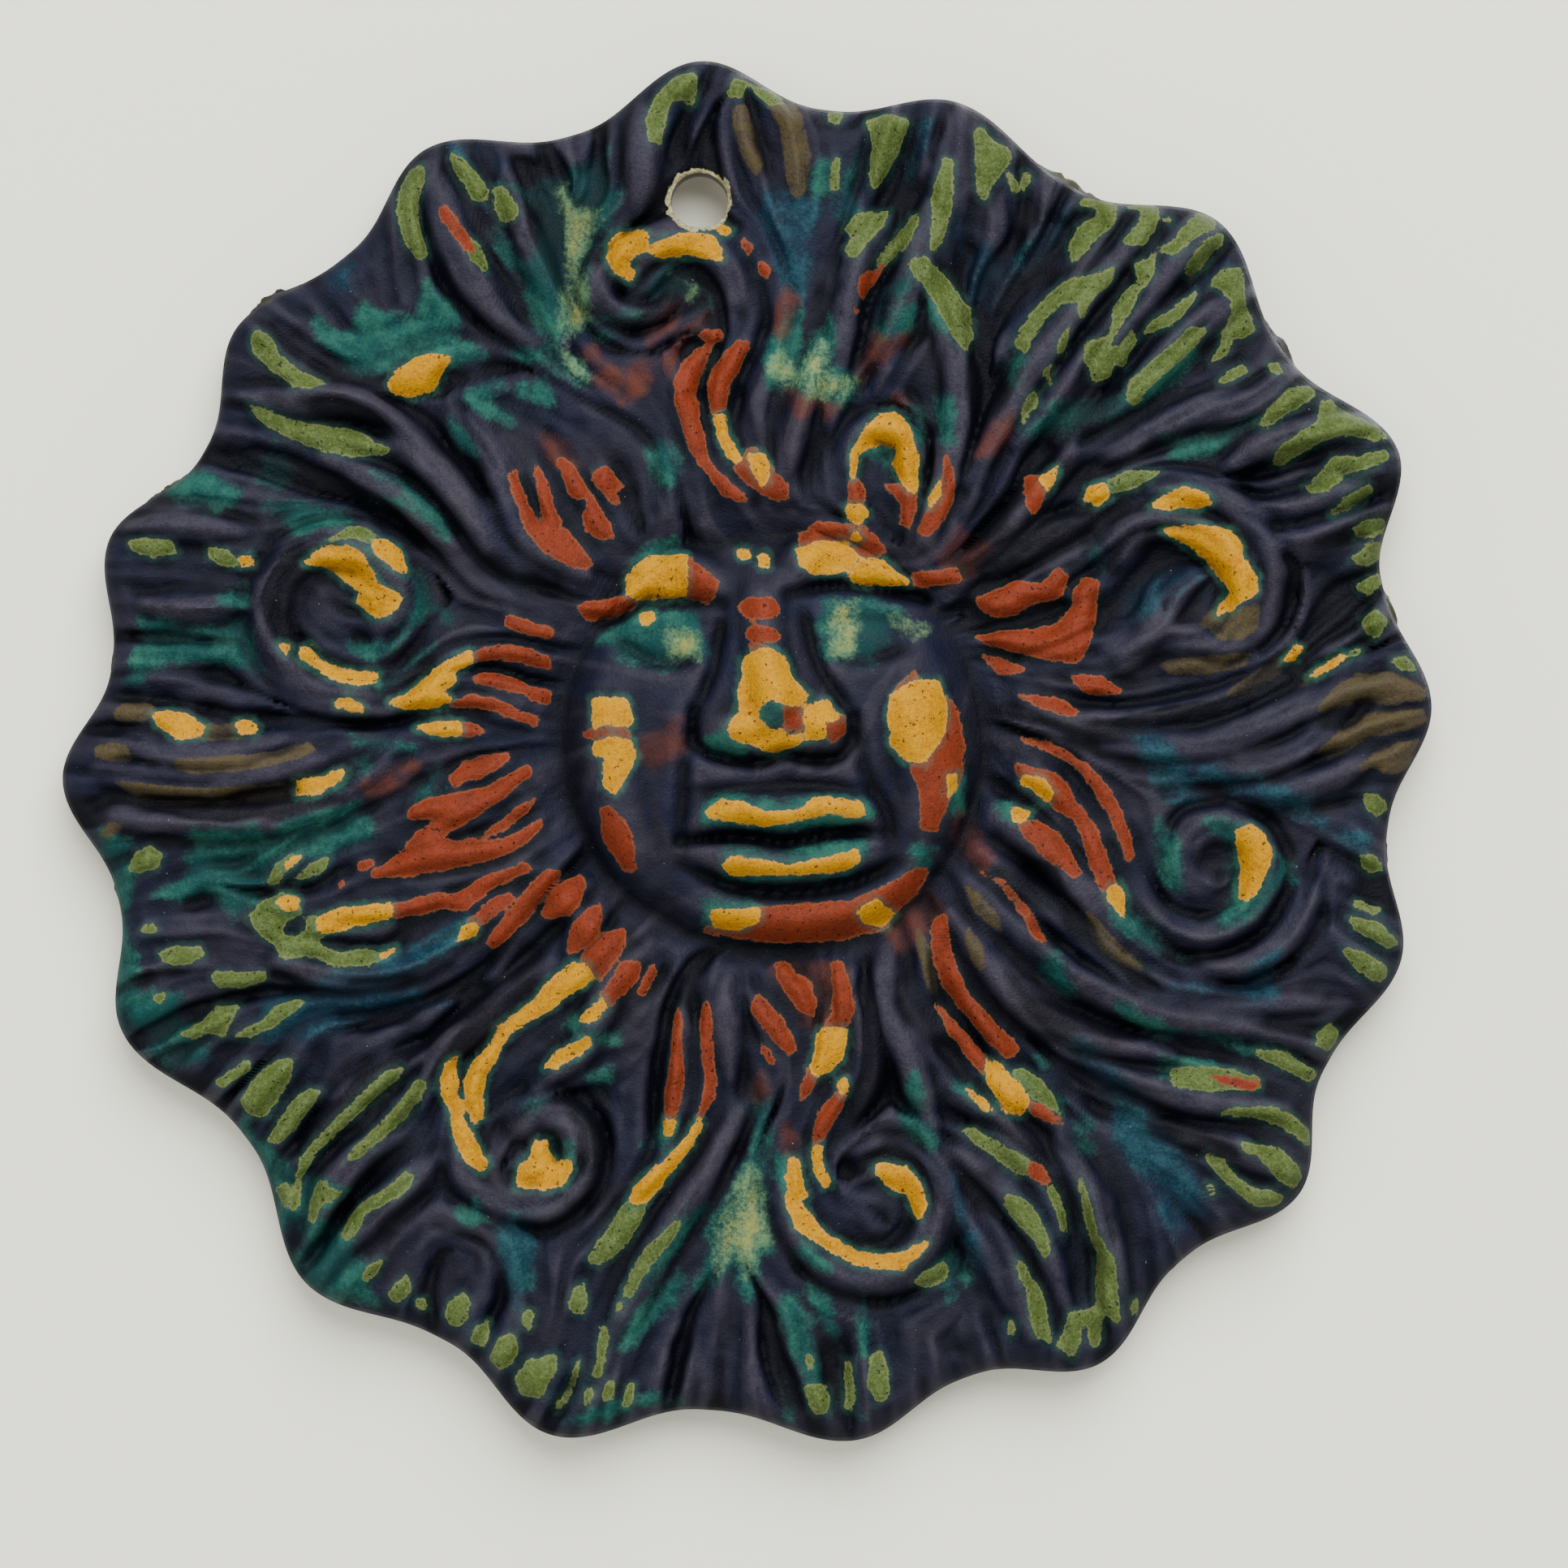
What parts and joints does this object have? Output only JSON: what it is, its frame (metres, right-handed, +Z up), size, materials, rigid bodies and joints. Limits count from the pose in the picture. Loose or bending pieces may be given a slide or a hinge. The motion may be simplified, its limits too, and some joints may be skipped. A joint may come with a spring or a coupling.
{
  "type": "sun face wall plaque",
  "caption": "Round cast wall plaque with a scalloped rim of rays, a face in the middle, flame locks and curls around it, a flat back and one hole near the top to hang it by.",
  "frame": {"origin": "middle of the hanging hole, on the flat back that lies on the wall", "axes": "+Y is the back's outward normal, into the wall, the carved front faces -Y, +X is to the viewer's right and +Z is up as it hangs"},
  "size_m": [0.1701, 0.0211, 0.1714],
  "materials": {
    "dark_painted_casting": "matte"
  },
  "bodies": {
    "root": {"sun_plate": "dark_painted_casting"}
  },
  "joints": []
}
